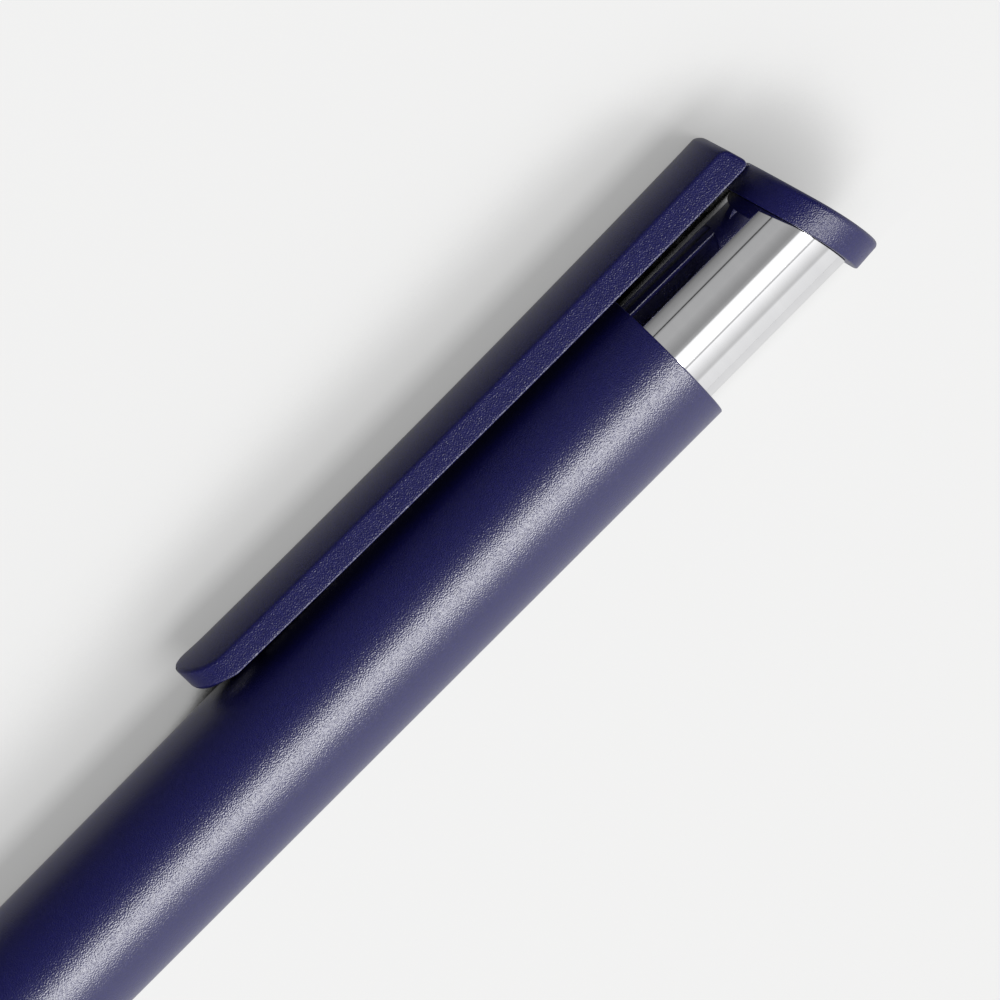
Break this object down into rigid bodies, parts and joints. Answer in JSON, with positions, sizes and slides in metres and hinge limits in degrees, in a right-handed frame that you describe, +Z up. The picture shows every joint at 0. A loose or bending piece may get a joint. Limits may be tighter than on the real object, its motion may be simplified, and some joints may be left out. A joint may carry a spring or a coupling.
{
  "type": "ballpoint pen",
  "caption": "Retractable ballpoint pen with a slanted round cap, an arched clip and a chrome sleeve that press together as its push button",
  "frame": {"origin": "centre of the bounding box, on the ground under the pen", "axes": "+X from the cap towards the writing tip, -Y towards the clip, +Z up from the table it lies on"},
  "size_m": [0.143, 0.0136, 0.0107],
  "materials": {
    "navy_plastic": "satin moulded navy plastic with a fine grain",
    "chrome": "bright polished chrome plating",
    "spring_steel": "drawn spring wire",
    "refill_steel": "plain rolled steel tube",
    "socket_brass": "turned brass",
    "ball_carbide": "ground carbide ball",
    "blue_ink": "wet blue ink",
    "follower_grease": "clear follower grease",
    "grey_acetal": "moulded grey acetal",
    "white_acetal": "moulded white acetal"
  },
  "bodies": {
    "pen_body": {"barrel": "navy_plastic", "guide_sleeve": "white_acetal"},
    "pusher": {"clip_cap": "navy_plastic", "chrome_sleeve": "chrome", "plunger": "white_acetal"},
    "refill": {"refill_tube": "refill_steel", "refill_tip": "socket_brass", "writing_ball": "ball_carbide", "refill_ink": "blue_ink", "ink_follower": "follower_grease", "refill_crown": "grey_acetal"},
    "rotor": {"cam_rotor": "grey_acetal"},
    "nose_carrier": {"return_spring": "spring_steel"},
    "nose": {"nose_cone": "chrome"}
  },
  "joints": [
    {"name": "pusher_slide", "type": "slide", "parent": "pen_body", "child": "pusher", "axis": [1, 0, 0], "range_m": [0, 0.006], "stiffness_N_per_m": 300, "deforming": ["return_spring"]},
    {"name": "refill_slide", "type": "slide", "parent": "pen_body", "child": "refill", "axis": [1, 0, 0], "range_m": [0, 0.006]},
    {"name": "cam_turn", "type": "hinge", "parent": "refill", "child": "rotor", "pos_m": [0, 0.00144, 0.00536], "axis": [-1, 0, 0], "range_deg": [0, 15]},
    {"name": "nose_travel", "type": "slide", "parent": "pen_body", "child": "nose_carrier", "axis": [1, 0, 0], "range_m": [0, 0.0065]},
    {"name": "nose_turn", "type": "hinge", "parent": "nose_carrier", "child": "nose", "pos_m": [0, 0.00144, 0.00536], "axis": [1, 0, 0], "range_deg": [0, 2340]}
  ],
  "couplings": [
    {"joint": "refill_slide", "follows": "pusher_slide", "ratio": 1},
    {"joint": "cam_turn", "follows": "pusher_slide", "rad_per_m": 43.633},
    {"joint": "nose_turn", "follows": "nose_travel", "rad_per_m": 6283.2}
  ]
}
